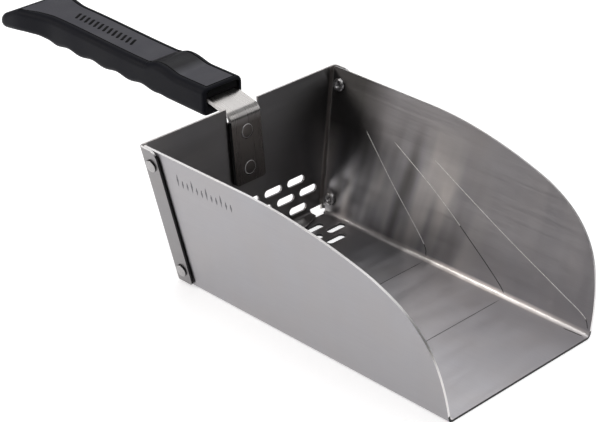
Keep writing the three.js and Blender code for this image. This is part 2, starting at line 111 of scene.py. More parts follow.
MOUTH_HALF, MOUTH_Z, MOUTH_CORNER = 11.0, (73.5, 83.2), 2.5
MOUTH_END_Y = 240.3

SPREAD = math.hypot(1, FLARE)
TANG_Z = BAR_ELBOW[1] + BAR_RISE * (BAR_TANG_Y - BAR_ELBOW[0])


def panel_front(z):
    return REAR_Y + LEAN * z


def ramp(t):
    t = min(1.0, max(0.0, t))
    return t * t * (3 - 2 * t)


def lerp(a, b, t):
    return a + (b - a) * t


# ---------------------------------------------------------------- meshes


def new_object(name, mesh_data, material, smooth=True):
    """A Blender object in metres from a bmesh in millimetres."""
    bmesh.ops.scale(mesh_data, vec=(MM, MM, MM), verts=mesh_data.verts)
    data = bpy.data.meshes.new(name)
    mesh_data.to_mesh(data)
    mesh_data.free()
    if smooth:
        data.shade_smooth()
    made = bpy.data.objects.new(name, data)
    bpy.context.scene.collection.objects.link(made)
    for one in material if isinstance(material, list) else [material]:
        data.materials.append(one)
    return made


def weigh_normals(made, weight):
    """Keeps the large faces flat in shading."""
    made.modifiers.new("normals", "WEIGHTED_NORMAL").weight = weight


def soften(made, width, segments=2):
    """Rounds every crisp edge and keeps the flat faces flat in shading."""
    bevel = made.modifiers.new("edge", "BEVEL")
    bevel.width = width * MM
    bevel.segments = segments
    bevel.limit_method = "ANGLE"
    bevel.angle_limit = math.radians(35)
    bevel.use_clamp_overlap = True
    weigh_normals(made, 80)


def thicken(made, thickness, offset):
    solid = made.modifiers.new("sheet", "SOLIDIFY")
    solid.thickness = thickness * MM
    solid.offset = offset
    solid.use_even_offset = True
    solid.use_quality_normals = True


# The second slot is a painted highlight and the third painted shade.
PLAIN, BRIGHT, DARK = 0, 1, 2  # material slots of a sheet whose cut edges are shaded
# Painted light on cut edges: a painted highlight above these heights, painted shade below them.
RIM_FOOT_Z = 4.0  # the pan's cut edges are dark below this and bright above it
ELBOW_FOOT_Z = 70.0  # so are the bar's


def shade_edges(made, rule):
    """Gives each face of a thickened sheet's cut edges the slot that its place and direction call for:
    plain, a painted highlight or painted shade.
    """
    made.modifiers["sheet"].material_offset_rim = 1
    graph = bpy.context.evaluated_depsgraph_get()
    made.data = bpy.data.meshes.new_from_object(made.evaluated_get(graph))
    made.modifiers.clear()
    for face in made.data.polygons:
        if face.material_index != PLAIN:
            face.material_index = rule(face.center / MM, face.normal)


def arc(centre, radius, start, end, steps):
    """Points on an arc, its ends included. Angles are in degrees."""
    return [
        (
            centre[0] + radius * math.cos(math.radians(lerp(start, end, k / steps))),
            centre[1] + radius * math.sin(math.radians(lerp(start, end, k / steps))),
        )
        for k in range(steps + 1)
    ]


def slot_loop(u, v):
    """A stadium-shaped hole, long in the first direction."""
    reach = (SLOT_LENGTH - SLOT_WIDTH) / 2
    right = arc((u + reach, v), SLOT_WIDTH / 2, -90, 90, 12)
    return right + arc((u - reach, v), SLOT_WIDTH / 2, 90, 270, 12)


def slot_rows(rows):
    """Every slot of three rows that hold five, six and five slots."""
    loops = []
    for row, v in enumerate(rows):
        count = 5 + row % 2
        for i in range(count):
            loops.append(slot_loop((i - (count - 1) / 2) * SLOT_PITCH, v))
    return loops


def chart(target, outline, holes, cuts, place):
    """Adds a flat sheet with holes, sliced along lines of constant first coordinate or second
    coordinate, and moves each of its corners into space by a rule."""
    flat = bmesh.new()
    for loop in [outline, *holes]:
        corners = [flat.verts.new((u, v, 0)) for u, v in loop]
        for i, corner in enumerate(corners):
            flat.edges.new((corners[i - 1], corner))
    bmesh.ops.triangle_fill(flat, use_beauty=True, edges=flat.edges[:], normal=(0, 0, 1))
    for axis, value in cuts:
        at = Vector((0, 0, 0))
        at[axis] = value
        normal = Vector((0, 0, 0))
        normal[axis] = 1
        everything = flat.verts[:] + flat.edges[:] + flat.faces[:]
        bmesh.ops.bisect_plane(flat, geom=everything, plane_co=at, plane_no=normal, dist=1e-5)
    flat.normal_update()
    for face in flat.faces:
        if face.normal.z < 0:
            face.normal_flip()
    for vert in flat.verts:
        vert.co = Vector(place(vert.co.x, vert.co.y))
    data = bpy.data.meshes.new("chart")
    flat.to_mesh(data)
    flat.free()
    target.from_mesh(data)
    bpy.data.meshes.remove(data)


def loft(rings, close_start=True, close_end=True):
    """A skin through rings of points, each ring closed on itself."""
    made = bmesh.new()
    rows = [[made.verts.new(p) for p in ring] for ring in rings]
    for a, b in zip(rows, rows[1:]):
        for k in range(len(a)):
            n = (k + 1) % len(a)
            made.faces.new((a[k], a[n], b[n], b[k]))
    if close_start:
        made.faces.new(rows[0][::-1])
    if close_end:
        made.faces.new(rows[-1])
    bmesh.ops.recalc_face_normals(made, faces=made.faces[:])
    return made


def lathe(profile, matrix, steps=56):
    """A turned piece whose profile is in radius and height, and starts and ends on the axis."""
    made = bmesh.new()
    first = made.verts.new((0, 0, profile[0][1]))
    last = made.verts.new((0, 0, profile[-1][1]))
    rows = [
        [
            made.verts.new((r * math.cos(t), r * math.sin(t), h))
            for t in (2 * math.pi * k / steps for k in range(steps))
        ]
        for r, h in profile[1:-1]
    ]
    for a, b in zip(rows, rows[1:]):
        for k in range(steps):
            n = (k + 1) % steps
            made.faces.new((a[k], a[n], b[n], b[k]))
    for k in range(steps):
        n = (k + 1) % steps
        made.faces.new((first, rows[0][n], rows[0][k]))
        made.faces.new((last, rows[-1][k], rows[-1][n]))
    bmesh.ops.recalc_face_normals(made, faces=made.faces[:])
    bmesh.ops.transform(made, matrix=matrix, verts=made.verts)
    return made


# ---------------------------------------------------------------- materials


class Nodes:
    """A short way to write a material's nodes."""

    def __init__(self, name):
        self.material = bpy.data.materials.new(name)
        self.material.use_nodes = True
        self.tree = self.material.node_tree
        self.shader = self.tree.nodes["Principled BSDF"]

    def add(self, kind, inputs=None, **settings):
        node = self.tree.nodes.new(kind)
        for key, value in settings.items():
            setattr(node, key, value)
        for key, value in (inputs or {}).items():
            if isinstance(value, bpy.types.NodeSocket):
                self.tree.links.new(value, node.inputs[key])
            else:
                node.inputs[key].default_value = value
        return node

    def place(self, scale):
        """Object coordinates, stretched."""
        where = self.add("ShaderNodeTexCoord").outputs["Object"]
        return self.add("ShaderNodeMapping", {"Vector": where, "Scale": scale}).outputs["Vector"]

    def along(self, axis):
        """One object coordinate, in millimetres."""
        scaled = self.place([1 / MM] * 3)
        return self.add("ShaderNodeSeparateXYZ", {"Vector": scaled}).outputs[axis]

    def noise(self, scale, detail=3.0, rough=0.6, stretch=(1, 1, 1)):
        vector = self.place([s * scale for s in stretch])
        made = self.add(
            "ShaderNodeTexNoise",
            {"Vector": vector, "Scale": 1.0, "Detail": detail, "Roughness": rough},
        )
        return made.outputs["Fac"]

    def range(self, value, low, high, from_low=0.3, from_high=0.7):
        made = self.add(
            "ShaderNodeMapRange",
            {
                "Value": value,
                "From Min": from_low,
                "From Max": from_high,
                "To Min": low,
                "To Max": high,
            },
        )
        return made.outputs["Result"]

    def mix(self, factor, a, b):
        made = self.add("ShaderNodeMix", data_type="RGBA")
        for index, value in ((0, factor), (6, a), (7, b)):
            if isinstance(value, bpy.types.NodeSocket):
                self.tree.links.new(value, made.inputs[index])
            else:
                made.inputs[index].default_value = value
        return made.outputs[2]

    def math(self, operation, a, b):
        made = self.add("ShaderNodeMath", operation=operation)
        for index, value in enumerate((a, b)):
            if isinstance(value, bpy.types.NodeSocket):
                self.tree.links.new(value, made.inputs[index])
            else:
                made.inputs[index].default_value = value
        return made.outputs[0]

    def product(self, *factors):
        """The product of several values."""
        made = factors[0]
        for factor in factors[1:]:
            made = self.math("MULTIPLY", made, factor)
        return made

    def bump(self, height, distance, strength=1.0, onto=None):
        inputs = {"Height": height, "Distance": distance, "Strength": strength}
        if onto is not None:
            inputs["Normal"] = onto
        return self.add("ShaderNodeBump", inputs).outputs["Normal"]

    def connect(self, socket, name):
        self.tree.links.new(socket, self.shader.inputs[name])


SHEET_TINT = (0.345, 0.34, 0.358)
SHEET_ROUGH = (0.29, 0.35)
# Painted light in the steel's colour: reflections streaked on the right wall, shade in its rear corner,
# highlights on the bends and beside the rear corners, shade on the bar's leg; and painted shade on the
# grip's hump.
REFLECTION_LIGHT, REFLECTION_DARK = (0.70, 0.665, 0.64, 1), (0.11, 0.105, 0.10, 1)
REFLECTION_SLANT, REFLECTION_SIZE = 0.16, (1, 1 / 52, 1 / 9)  # tall and narrow on a side wall
CORNER_SHADE = (0.08, 0.078, 0.076, 1)
BEND_HIGHLIGHT, STRIP_HIGHLIGHT = (0.95, 0.91, 0.88, 1), (0.62, 0.59, 0.57, 1)
LEG_SHADE = (0.17, 0.155, 0.145, 1)
HUMP_SHADE, HUMP_SHADE_GLOSS = (0.011, 0.0108, 0.0132, 1), 0.16


def brushed_steel(name, grain, tint=SHEET_TINT, rough=SHEET_ROUGH, wave=0.5, relief=1.0, marks=None):
    """Stainless sheet with a satin grain. The grain's stretch is small along the grain. Wave is the
    strength of the sheet's slow ripple, relief that of the grain, and marks adds painted reflections,
    highlights and shade to the colour."""
    n = Nodes(name)
    fine = n.noise(5200, detail=4, rough=0.65, stretch=grain)
    strands = n.noise(1100, detail=2, rough=0.5, stretch=grain)
    cloud = n.noise(38, detail=2, rough=0.45)
    streak_noise = n.noise(150, detail=3, rough=0.5, stretch=[max(s, 0.12) for s in grain])
    light = tuple(min(1, c * 1.04) for c in tint) + (1,)
    dark = tuple(c * 0.93 for c in tint) + (1,)
    warm = (tint[0], tint[1] * 0.965, tint[2] * 0.92, 1)
    base = n.mix(n.range(fine, 0, 1), dark, light)
    base = n.mix(n.range(strands, 0, 0.2), base, light)
    base = n.mix(n.range(cloud, 0, 0.5), base, warm)
    if marks:
        base = marks(n, base)
    n.connect(base, "Base Color")
    roughness = n.range(n.math("ADD", fine, n.math("ADD", strands, streak_noise)), *rough, 1.1, 1.9)
    n.connect(roughness, "Roughness")
    n.shader.inputs["Metallic"].default_value = 1.0
    ripple = n.bump(n.noise(75, detail=1, rough=0.4, stretch=(0.3, 1, 0.25)), 0.0009, wave)
    grooves = n.bump(strands, 0.00004, 0.12 * relief, onto=ripple)
    n.connect(n.bump(fine, 0.00002, 0.3 * relief, onto=grooves), "Normal")
    n.shader.inputs["Anisotropic"].default_value = 0.88
    normal = n.add("ShaderNodeNewGeometry").outputs["Normal"]
    along = [1.0 if s == min(grain) else 0.0 for s in grain]
    across = n.add("ShaderNodeVectorMath", operation="CROSS_PRODUCT")
    n.tree.links.new(normal, across.inputs[0])
    across.inputs[1].default_value = along
    n.connect(across.outputs[0], "Tangent")
    return n.material


def pan_painted_light(n, base):
    """Painted reflections inside the right wall as upright light and dark streaks, painted shade in its
    rear corner, and a painted highlight along the bends.
    """
    x, y, z = (n.along(axis) for axis in "XYZ")
    flared = n.math("SUBTRACT", x, n.math("MULTIPLY", z, FLARE))  # the same all the way up a wall
    inner_face = n.range(flared, 1, 0, 49.1, 49.6)

    # Painted reflections: light and dark upright streaks on the right wall's inner face, towards the
    # rear.
    where = n.add("ShaderNodeTexCoord").outputs["Object"]
    slanted = n.add(
        "ShaderNodeMapping",
        {"Vector": where, "Rotation": (REFLECTION_SLANT, 0, 0), "Scale": REFLECTION_SIZE},
        vector_type="TEXTURE",
    ).outputs["Vector"]
    streak_noise = n.add("ShaderNodeTexNoise", {"Vector": slanted, "Scale": 1.0, "Detail": 2.0}).outputs["Fac"]
    reflection_mask = n.product(
        inner_face, n.range(x, 0, 1, 46.5, 49.0), n.range(y, 0, 1, -20, 25), n.range(z, 1, 0, 40, 72)
    )
    light = n.product(reflection_mask, n.range(streak_noise, 0, 0.9, 0.5, 0.66))
    dark = n.product(reflection_mask, n.range(streak_noise, 0.9, 0, 0.34, 0.5))
    base = n.mix(light, base, REFLECTION_LIGHT)
    base = n.mix(dark, base, REFLECTION_DARK)

    # Painted shade in the right wall's rear corner.
    corner = n.product(
        inner_face, n.range(x, 0, 1, 45, 50), n.range(y, 0, 0.92, 48, 72), n.range(z, 0, 1, 26, 50)
    )
    base = n.mix(corner, base, CORNER_SHADE)

    # Painted highlight along the inner bends between floor and walls, dimmer towards the rear and towards
    # the lip.
    side = n.math("ABSOLUTE", x, 0)
    normal = n.add("ShaderNodeNewGeometry").outputs["Normal"]
    upward = n.add("ShaderNodeSeparateXYZ", {"Vector": normal}).outputs["Z"]
    bend = n.product(
        n.range(side, 0, 1, 46.6, 47.8),
        n.range(z, 1, 0, 2.6, 4.0),
        n.range(upward, 0, 1, 0.02, 0.15),
        n.range(y, 1, 0.25, -20, 60),
        n.range(y, 0.3, 1, -90, -30),
    )
    return n.mix(bend, base, BEND_HIGHLIGHT)


def panel_painted_highlight(n, base):
    """A painted highlight on the strip beside each rear corner's bend."""
    side = n.math("ABSOLUTE", n.along("X"), 0)
    flared = n.math("SUBTRACT", side, n.math("MULTIPLY", n.along("Z"), FLARE))
    strip = n.product(n.range(flared, 0, 1, 46.2, 47.4), n.range(flared, 1, 0, 49.0, 50.0))
    return n.mix(strip, base, STRIP_HIGHLIGHT)


def bar_painted_shade(n, base):
    """Painted shade: the handle bar's leg, below the elbow, is coloured darker and warmer."""
    return n.mix(n.range(n.along("Z"), 1, 0, 67, 72.5), base, LEG_SHADE)


def soft_rubber(name, colour, haze_colour, rough, grain_size, grain_depth, gloss=0.08, shaded_hump=False):
    """Moulded grip rubber: a fine matt grain and a slight change of shade. Gloss is the specular level,
    and a shaded hump gets painted shade, a darker colour with a duller gloss, from the hump's front edge
    to the crease behind it."""
    n = Nodes(name)
    cells = n.add(
        "ShaderNodeTexVoronoi", {"Vector": n.place([1000.0 / grain_size] * 3), "Scale": 1.0}
    ).outputs["Distance"]
    haze = n.noise(60, detail=3, rough=0.55)
    speck = n.noise(2600, detail=3, rough=0.7)
    lighter = tuple(min(1, c * 1.35 + 0.004) for c in colour) + (1,)
    darker = tuple(c * 0.78 for c in colour) + (1,)
    base = n.mix(n.range(speck, 0, 1), darker, lighter)
    base = n.mix(n.range(haze, 0, 0.45), base, haze_colour + (1,))
    n.connect(base, "Base Color")
    n.connect(n.range(n.math("ADD", haze, speck), rough - 0.08, rough + 0.1, 0.7, 1.3), "Roughness")
    n.shader.inputs["Specular IOR Level"].default_value = gloss
    if shaded_hump:
        # Painted shade on the hump's slope, with a lower specular level.
        y = n.along("Y")
        hump_shade = n.product(
            n.range(y, 0, 1, HUMP_SHADE_FRONT_Y - 3, HUMP_SHADE_FRONT_Y + 3),
            n.range(y, 1, 0, CREASE_Y - 0.8, CREASE_Y - 0.2),
        )
        n.connect(n.mix(hump_shade, base, HUMP_SHADE), "Base Color")
        n.connect(n.range(hump_shade, gloss, HUMP_SHADE_GLOSS, 0, 1), "Specular IOR Level")
    grain = n.bump(cells, grain_depth * MM, 0.5)
    n.connect(n.bump(speck, grain_depth * MM * 0.6, 0.4, onto=grain), "Normal")
    return n.material


def painted_shadow_edge(name):
    """Painted shade: near-black colour on cut edges that face into gaps and shadow, and on rivet rims."""
    n = Nodes(name)
    flecks = n.noise(1500, detail=3, rough=0.7)
    shade = n.mix(n.range(flecks, 0, 1), (0.010, 0.010, 0.011, 1), (0.030, 0.029, 0.030, 1))
    n.connect(shade, "Base Color")
    n.connect(n.range(flecks, 0.42, 0.55), "Roughness")
    n.connect(n.bump(flecks, 0.00003, 0.4), "Normal")
    n.shader.inputs["Specular IOR Level"].default_value = 0.2
    return n.material


def scribe_metal(name, tint, metallic=1.0):
    """The bare, slightly torn metal of a scribed line or an etched mark, in the given tint: a scribe's
    bright or dark tint is painted highlight or painted shade, while an etched mark's dark tint is its
    own.
    """
    n = Nodes(name)
    fleck = n.noise(900, detail=3, rough=0.7)
    dark = tuple(c * 0.6 for c in tint) + (1,)
    n.connect(n.mix(n.range(fleck, 0, 1), dark, tint + (1,)), "Base Color")
    n.connect(n.range(fleck, 0.35, 0.5), "Roughness")
    n.connect(n.bump(fleck, 0.00004, 0.4), "Normal")
    n.shader.inputs["Metallic"].default_value = metallic
    return n.material


def floor_material():
    n = Nodes("studio_floor")
    mottle = n.noise(14, detail=2, rough=0.5)
    shade = n.mix(n.range(mottle, 0, 1), (0.90, 0.90, 0.905, 1), (0.915, 0.915, 0.92, 1))
    n.connect(shade, "Base Color")
    n.connect(n.range(mottle, 0.55, 0.62), "Roughness")
    n.shader.inputs["Specular IOR Level"].default_value = 0.15
    n.shader.inputs["Emission Color"].default_value = (1, 1, 1, 1)
    n.shader.inputs["Emission Strength"].default_value = 0.5
    return n.material


PAN_STEEL = brushed_steel("pan_steel", (1, 0.012, 1), marks=pan_painted_light)
PANEL_STEEL = brushed_steel(
    "panel_steel", (0.012, 0.2, 1), tint=(0.262, 0.256, 0.262), marks=panel_painted_highlight
)
BAR_STEEL = brushed_steel(
    "bar_steel",
    (1, 0.012, 0.012),
    tint=(0.42, 0.41, 0.405),
    rough=(0.25, 0.32),
    relief=0.45,
    marks=bar_painted_shade,
)
RIVET_STEEL = brushed_steel(
    "rivet_steel", (1, 0.3, 1), tint=(0.36, 0.355, 0.36), rough=(0.22, 0.32), wave=0.0
)
# A painted highlight for cut edges along the rims and the bar's top: a far brighter copy of the sheet
# steel.
HIGHLIGHT_EDGE = brushed_steel(
    "painted_highlight_edge", (1, 1, 0.05), tint=(0.78, 0.77, 0.775), rough=(0.48, 0.58), wave=0.0
)
# Painted shade for cut edges and rivet rims.
SHADOW_EDGE = painted_shadow_edge("painted_shadow_edge")
# Lit and shaded copies of the scribe metal: painted highlight and painted shade.
LIT_SCRIBE = scribe_metal("scribe_painted_highlight", (0.95, 0.94, 0.92), metallic=0.5)
SHADED_SCRIBE = scribe_metal("scribe_painted_shade", (0.10, 0.10, 0.10))
ETCH_STEEL = scribe_metal("etched_steel", (0.17, 0.17, 0.18))
GRIP_RUBBER = soft_rubber(
    "grip_rubber", (0.006, 0.0063, 0.0092), (0.009, 0.0095, 0.0142), 0.5, 0.35, 0.03
)
PAD_RUBBER = soft_rubber(
    "pad_rubber",
    (0.024, 0.0235, 0.033),
    (0.033, 0.032, 0.046),
    0.5,
    0.45,
    0.05,
    gloss=0.5,
    shaded_hump=True,
)
SEAM_RUBBER = soft_rubber(
    "seam_rubber", (0.002, 0.002, 0.0024), (0.003, 0.003, 0.0036), 0.7, 0.35, 0.02, gloss=0.1
)
CORE_PLASTIC = soft_rubber(
    "core_plastic", (0.004, 0.004, 0.0045), (0.006, 0.006, 0.007), 0.5, 0.5, 0.03
)


# ---------------------------------------------------------------- pan


BEND_ANGLE = math.pi / 2 - math.atan(FLARE)
BEND_TURN = BEND * math.tan(BEND_ANGLE / 2)
FLAT_HALF = FLOOR_HALF - BEND_TURN
WALL_START_U = FLAT_HALF + BEND * BEND_ANGLE
WALL_START_Z = BEND * (1 - math.cos(BEND_ANGLE))


def pan_place(u, y):
    """From the flat sheet to the bent pan's outer face."""
    side = math.copysign(1, u)
    u = abs(u)
    if u <= FLAT_HALF:
        return side * u, y, 0
    if u <= WALL_START_U:
        turned = (u - FLAT_HALF) / BEND
        return side * (FLAT_HALF + BEND * math.sin(turned)), y, BEND * (1 - math.cos(turned))
    z = WALL_START_Z + (u - WALL_START_U) / SPREAD
    return side * (FLOOR_HALF + FLARE * z), y, z


def pan_u(z):
    """The flat sheet's coordinate of a height on the outer face."""
    if z < WALL_START_Z:
        return FLAT_HALF + BEND * math.acos(1 - z / BEND)
    return WALL_START_U + (z - WALL_START_Z) * SPREAD


def rim_points():
    points = []
    for curve in (RIM_STEEP, RIM_FLAT):
        ends = [Vector((y, z, 0)) for y, z in curve]
        points += interpolate_bezier(ends[0], ends[1], ends[2], ends[3], 60)[:-1]
    return [(p.x, p.y) for p in points] + [RIM_FLAT[-1]]


def make_pan():
    half = [(0, LIP_Y), (FLAT_HALF, LIP_Y)]
    half += [(pan_u(z), y) for y, z in rim_points()[1:]]
    for z in (WALL_HEIGHT, RELIEF_HEIGHT):
        half.append((pan_u(z), panel_front(z) - WALL_SETBACK))
    relief_u = FLAT_HALF + BEND * math.asin((RELIEF_HALF - FLAT_HALF) / BEND)
    half += [(pan_u(RELIEF_HEIGHT), CORNER_BACK_Y), (relief_u, CORNER_BACK_Y)]
    half += [(relief_u, RELIEF_FRONT_Y), (FOOT_HALF, RELIEF_FRONT_Y)]
    half += [(FOOT_HALF, REAR_Y + SHEET), (0, REAR_Y + SHEET)]
    outline = half + [(-u, y) for u, y in half[-2:0:-1]]
    steps = 12
    bends = [lerp(FLAT_HALF, WALL_START_U, k / steps) for k in range(steps + 1)]
    cuts = [(0, side * u) for u in bends for side in (-1, 1)]
    sheet = bmesh.new()
    chart(sheet, outline, slot_rows(FLOOR_ROWS_Y), cuts, pan_place)
    pan = new_object("pan_sheet", sheet, [PAN_STEEL, HIGHLIGHT_EDGE, SHADOW_EDGE])
    thicken(pan, SHEET, 1)
    # Cut edges: painted highlight above RIM_FOOT_Z, painted shade below it.
    shade_edges(pan, lambda at, _: BRIGHT if at.z > RIM_FOOT_Z else DARK)
    soften(pan, 0.16)
    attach(pan, "root")
    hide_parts("scoop_pan")


# ---------------------------------------------------------------- back panel


PANEL_HALF = FLOOR_HALF + (GAP + SHEET) * SPREAD
PANEL_BOTTOM = SHEET + GAP
CORNER_RUN = BEND * math.pi / 2
FOOT_ANGLE = math.pi / 2 - math.atan(LEAN)
FOOT_TURN = BEND * math.tan(FOOT_ANGLE / 2)
REAR_START_Z = PANEL_BOTTOM + BEND * (1 - math.cos(FOOT_ANGLE))
FOOT_START_S = REAR_START_Z - BEND * FOOT_ANGLE
FOOT_BEND_Y = REAR_Y + SHEET + LEAN * PANEL_BOTTOM - FOOT_TURN


def rear_place(x, s):
    """From the flat sheet to the rear face, its lower bend and the foot flange."""
    if s >= REAR_START_Z:
        return x, panel_front(s) + SHEET, s
    if s >= FOOT_START_S:
        turned = FOOT_ANGLE - (REAR_START_Z - s) / BEND
        return x, FOOT_BEND_Y + BEND * math.sin(turned), PANEL_BOTTOM + BEND * (1 - math.cos(turned))
    return x, FOOT_BEND_Y - (FOOT_START_S - s), PANEL_BOTTOM


def corner_place(t, z):
    """From the flat sheet to a rear corner's bend and the side flange in front of it."""
    side = math.copysign(1, t)
    t = abs(t)
    turned = min(t / BEND, math.pi / 2)
    forward = max(0, t - CORNER_RUN)
    x = PANEL_HALF + FLARE * z - BEND + BEND * math.sin(turned)
    y = panel_front(z) + SHEET - BEND + BEND * math.cos(turned) - forward
    return side * x, y, z


def corner_outline():
    front = CORNER_RUN + SIDE_FLANGE - BEND
    top, bottom = SIDE_FLANGE_CORNERS
    points = [(0, RELIEF_HEIGHT), (0, SIDE_FLANGE_BOTTOM)]
    points += arc((front - bottom, SIDE_FLANGE_BOTTOM + bottom), bottom, -90, 0, 6)
    points += arc((front - top, WALL_HEIGHT - top), top, 0, 90, 12)
    return points + [(0, WALL_HEIGHT)]


def rear_outline():
    run, depth = FOOT_CHAMFER
    foot_end = FOOT_START_S - (FOOT_BEND_Y - FOOT_FRONT_Y)
    half = [(0, foot_end), (FOOT_HALF - run, foot_end), (FOOT_HALF, foot_end + depth)]
    half.append((FOOT_HALF, RELIEF_HEIGHT))
    half += [(PANEL_HALF + FLARE * z - BEND, z) for z in (RELIEF_HEIGHT, WALL_HEIGHT)]
    half.append((NOTCH_HALF, WALL_HEIGHT))
    centre = (NOTCH_HALF - NOTCH_CORNER, NOTCH_BOTTOM + NOTCH_CORNER)
    half += arc(centre, NOTCH_CORNER, 0, -90, 6) + [(0, NOTCH_BOTTOM)]
    return half + [(-x, s) for x, s in half[-2:0:-1]]


def make_panel():
    sheet = bmesh.new()
    steps = 8
    foot_cuts = [(1, lerp(FOOT_START_S, REAR_START_Z, k / steps)) for k in range(steps + 1)]
    chart(sheet, rear_outline(), slot_rows(BACK_ROWS_Z), foot_cuts, rear_place)
    for side in (-1, 1):
        outline = [(side * t, z) for t, z in corner_outline()]
        cuts = [(0, side * CORNER_RUN * k / steps) for k in range(1, steps + 1)]
        chart(sheet, outline, [], cuts, lambda t, z, side=side: corner_place(t or side * 1e-9, z))
    bmesh.ops.remove_doubles(sheet, verts=sheet.verts, dist=1e-3)
    panel = new_object("panel_sheet", sheet, [PANEL_STEEL, HIGHLIGHT_EDGE, SHADOW_EDGE])
    thicken(panel, SHEET, 1)

    def edge_shade(at, normal):
        # Painted highlight on the top edges, painted shade on the flanges' front edges.
        if at.z > NOTCH_BOTTOM and normal.z > 0.5:
            return BRIGHT
        on_flange = abs(at.x) > FLOOR_HALF + FLARE * at.z
        return DARK if on_flange and normal.y < -0.5 else PLAIN

    shade_edges(panel, edge_shade)
    soften(panel, 0.16)
    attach(panel, "root")
    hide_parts("back_panel")


# ---------------------------------------------------------------- handle bar


def bend_points(before, corner, after, steps):
    """The arc of a bend between two straight stretches, in y and z."""
    before, corner, after = (Vector(p) for p in (before, corner, after))
    into = (corner - before).normalized()
    out = (after - corner).normalized()
    angle = into.angle(out)
    turn = math.copysign(1, into.x * out.y - into.y * out.x)
    start = corner - into * BAR_RADIUS * math.tan(angle / 2)
    centre = start + Vector((-into.y, into.x)) * turn * BAR_RADIUS
    points = []
    arm = start - centre
    across = Vector((-arm.y, arm.x))
    for k in range(steps + 1):
        a = turn * angle * k / steps
        points.append(centre + arm * math.cos(a) + across * math.sin(a))
    return points


def make_bar():
    foot = (panel_front(BAR_FOOT_Z) - GAP - BAR_THICK / 2, BAR_FOOT_Z)
    shoulder = (BAR_TANG_Y, TANG_Z)
    end = (BAR_END_Y, TANG_Z)
    path = [Vector(foot)] + bend_points(foot, BAR_ELBOW, shoulder, 16)
    path += bend_points(BAR_ELBOW, shoulder, end, 6) + [Vector(end)]
    lengths = [0.0]
    for a, b in zip(path, path[1:]):
        lengths.append(lengths[-1] + (b - a).length)

    def place(x, s):
        i = max(k for k in range(len(lengths) - 1) if lengths[k] <= s + 1e-6)
        at = path[i].lerp(path[i + 1], (s - lengths[i]) / (lengths[i + 1] - lengths[i]))
        return x, at.x, at.y

    right = arc((BAR_HALF - BAR_CORNER, BAR_CORNER), BAR_CORNER, -90, 0, 6)
    outline = right + [(BAR_HALF, lengths[-1]), (-BAR_HALF, lengths[-1])]
    outline += [(-x, s) for x, s in right[::-1]]
    leaning = math.hypot(1, LEAN)
    holes = [
        arc((0, (z - BAR_FOOT_Z) * leaning), HEAD_R + HOLE_CLEARANCE, 0, 352.5, 47)
        for z in STRAP_RIVETS_Z.values()
    ]
    sheet = bmesh.new()
    chart(sheet, outline, holes, [(1, s) for s in lengths[1:-1]], place)
    bar = new_object("handle_bar", sheet, [BAR_STEEL, HIGHLIGHT_EDGE, SHADOW_EDGE])
    thicken(bar, BAR_THICK, 0)
    # Cut edges: painted highlight above ELBOW_FOOT_Z, painted shade below it.
    shade_edges(bar, lambda at, _: BRIGHT if at.z > ELBOW_FOOT_Z else DARK)
    soften(bar, 0.3, segments=3)
    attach(bar, "root")
    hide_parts("handle_strap")


# ---------------------------------------------------------------- rivets


def side_rivet_frame(side, z):
    out = Vector((side, 0, -FLARE)).normalized()
    along = Vector((0, 1, 0))
    face = PANEL_HALF + FLARE * z
    axes = Matrix((along.cross(out), along, out)).transposed()
    return Matrix.Translation((side * face, panel_front(z) - SIDE_RIVET_SETBACK, z)) @ axes.to_4x4()


def strap_rivet_frame(z):
    out = Vector((0, 1, -LEAN)).normalized()
    across = Vector((1, 0, 0))
    axes = Matrix((across, out.cross(across), out)).transposed()
    return Matrix.Translation((0, panel_front(z) + SHEET, z)) @ axes.to_4x4()


def domed(radius, base, height, edge):
    """A low dome with a steep rounded rim, from the rim's foot to just before the axis."""
    crown = base + height
    rim = crown - edge - 0.3
    points = [(radius - 0.12, base), (radius, base + 0.12), (radius, rim)]
    shoulder = arc((radius - edge, rim), edge, 10, 84, 7)
    at = shoulder[-1]
    points += shoulder
    for k in range(1, 7):
        t = k / 7
        points.append((at[0] * (1 - t), at[1] + (crown - at[1]) * (1 - (1 - t) ** 2)))
    return points + [(0, crown)]


def rolled(outer, inner, base, height):
    """A rolled rivet end: a ring with an open middle, from the middle out."""
    middle = (outer + inner) / 2
    half = (outer - inner) / 2
    ring = [
        (middle - half * math.cos(a), base - height * math.sin(a))
        for a in (math.pi * k / 12 for k in range(13))
    ]
    floor = base - 0.25
    return [(0, floor), (inner - 0.25, floor), (inner - 0.08, floor - 0.05), *ring[1:]]


def make_rivet(name, profile, matrix, flush=False):
    """A rivet whose head rim is painted dark as shade. A flush front head is bar steel with its rim
    painted bright as a highlight.
    """
    made = lathe(profile, matrix)
    back = matrix.inverted()
    for face in made.faces:
        height = (back @ face.calc_center_median()).z
        lean = abs((back.to_3x3() @ face.normal).z)
        # Painted shade on the head's rim; on a flush front head, a painted highlight round its rim.
        if height > 0 and lean < 0.6:
            face.material_index = 1
        elif flush and height < 0:
            face.material_index = 2 if lean > 0.95 else 3
    rivet = new_object(name + "_fine", made, [RIVET_STEEL, SHADOW_EDGE, BAR_STEEL, HIGHLIGHT_EDGE])
    weigh_normals(rivet, 60)
    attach(rivet, "root")
    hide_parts(name)


